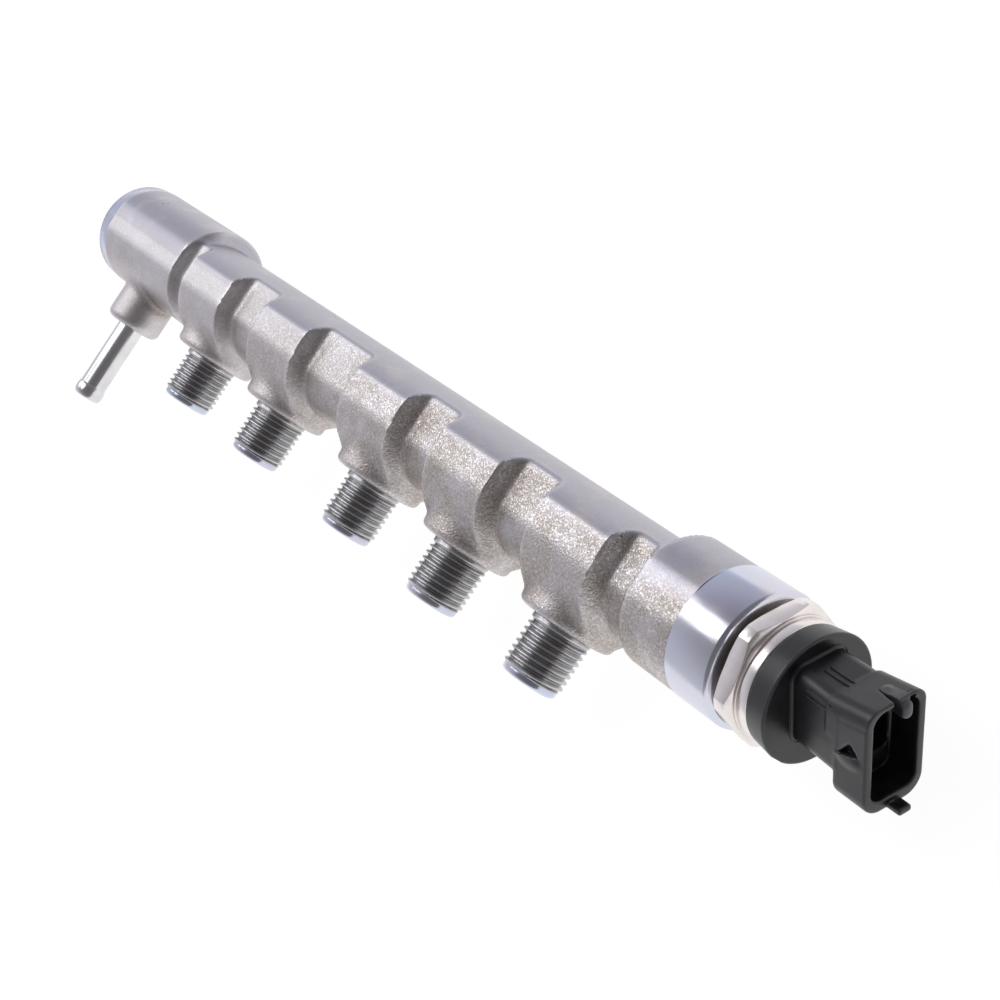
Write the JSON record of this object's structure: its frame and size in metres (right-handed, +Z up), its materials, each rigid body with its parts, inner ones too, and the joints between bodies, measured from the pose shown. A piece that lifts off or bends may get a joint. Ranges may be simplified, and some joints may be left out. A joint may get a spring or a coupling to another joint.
{
  "type": "fuel rail",
  "caption": "Forged common rail with a row of threaded branch ports, an angled return pipe and a pressure sensor with a plug socket at one end.",
  "frame": {"origin": "middle of the valve port's mouth, on the rail's axis, at the end away from the sensor", "axes": "+X along the rail towards the sensor, the threaded ports point to -Y, +Z up across the forging's flash"},
  "size_m": [0.3092, 0.0629, 0.0314],
  "materials": {
    "forged_steel": "zinc plated forging, matt with machined bands",
    "bright_tube": "bright drawn tube",
    "nickel_steel": "nickel plated, turned",
    "cell_steel": "turned stainless",
    "black_plastic": "moulded satin black",
    "seal_rubber": "matt",
    "board": "solder mask",
    "chip": "moulded",
    "capacitor": "fired",
    "tinned_brass": "tinned"
  },
  "bodies": {
    "root": {"rail_body": "forged_steel", "return_pipe": "bright_tube", "throttle_1": "cell_steel", "throttle_2": "cell_steel", "throttle_3": "cell_steel", "throttle_4": "cell_steel", "throttle_5": "cell_steel", "sensor_port": "nickel_steel", "sensing_cell": "cell_steel", "crimp_sleeve": "nickel_steel", "connector_housing": "black_plastic", "housing_seal": "seal_rubber", "board_frame": "black_plastic", "sensor_board": "board", "signal_chip": "chip", "capacitor_1": "capacitor", "capacitor_2": "capacitor", "terminal_1": "tinned_brass", "terminal_2": "tinned_brass", "terminal_3": "tinned_brass", "contact_spring_1": "tinned_brass", "contact_spring_2": "tinned_brass", "contact_spring_3": "tinned_brass"}
  },
  "joints": []
}
